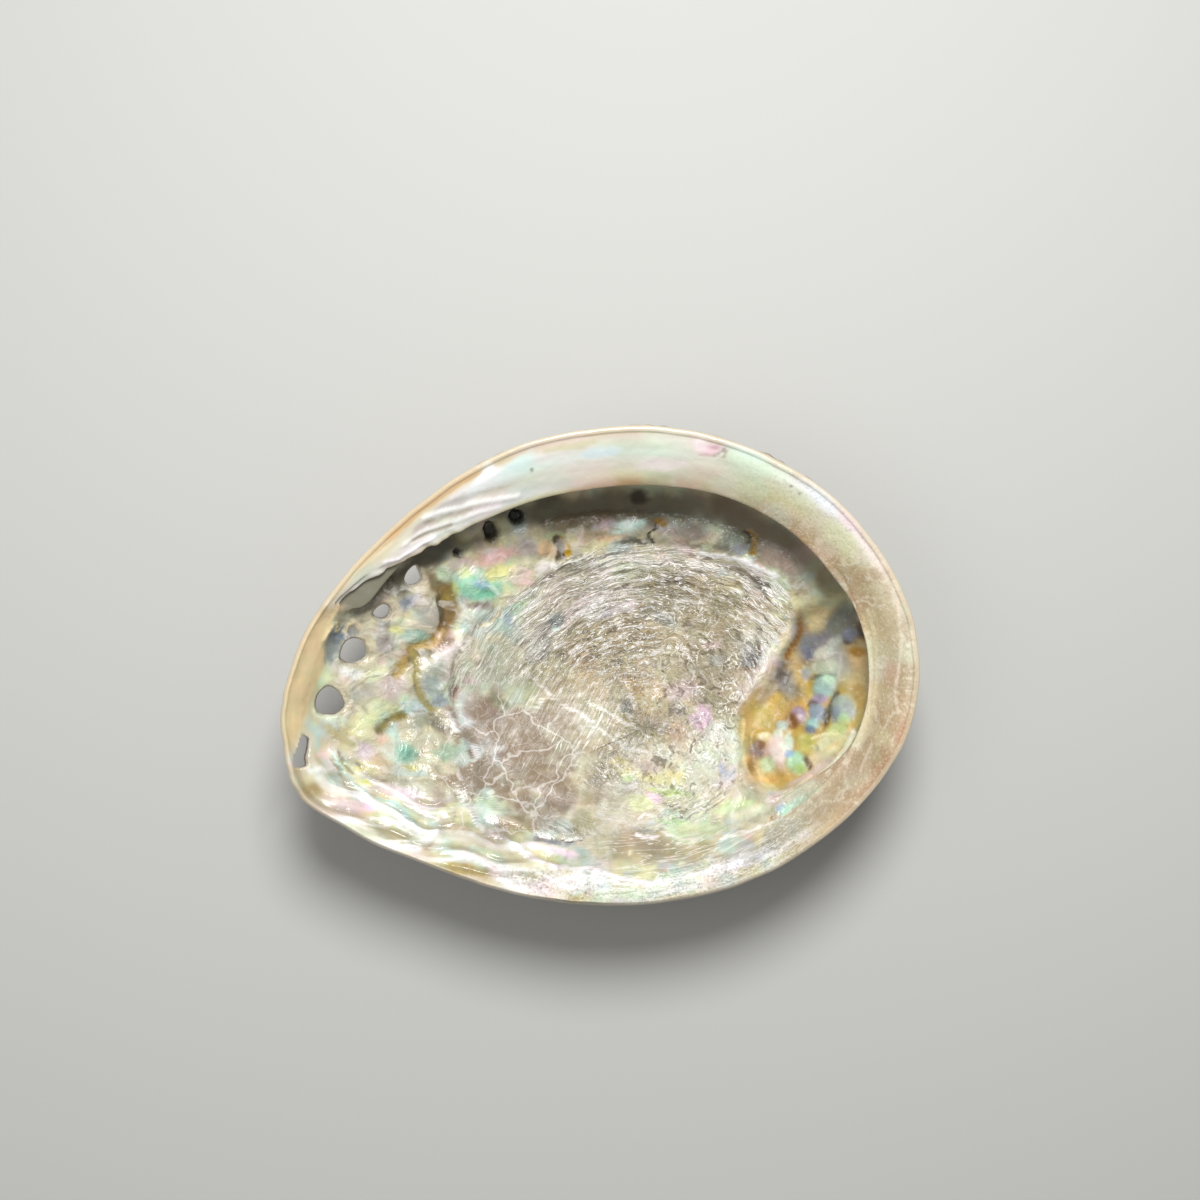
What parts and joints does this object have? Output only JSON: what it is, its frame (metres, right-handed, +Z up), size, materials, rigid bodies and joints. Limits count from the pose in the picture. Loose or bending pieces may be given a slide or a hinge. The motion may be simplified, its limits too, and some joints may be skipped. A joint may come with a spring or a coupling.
{
  "type": "abalone shell",
  "caption": "Ear-shaped abalone shell lying on its back, nacre hollow up, with a curled inner shelf, a spire pit and a row of breathing holes.",
  "frame": {"origin": "middle of the footprint, on the surface that the worn patch of the back rests on", "axes": "+Z up out of the hollow, +X towards the spire end, +Y towards the shelf side"},
  "size_m": [0.1504, 0.1144, 0.0399],
  "materials": {
    "nacre": "gloss"
  },
  "bodies": {
    "root": {"shell": "nacre"}
  },
  "joints": []
}
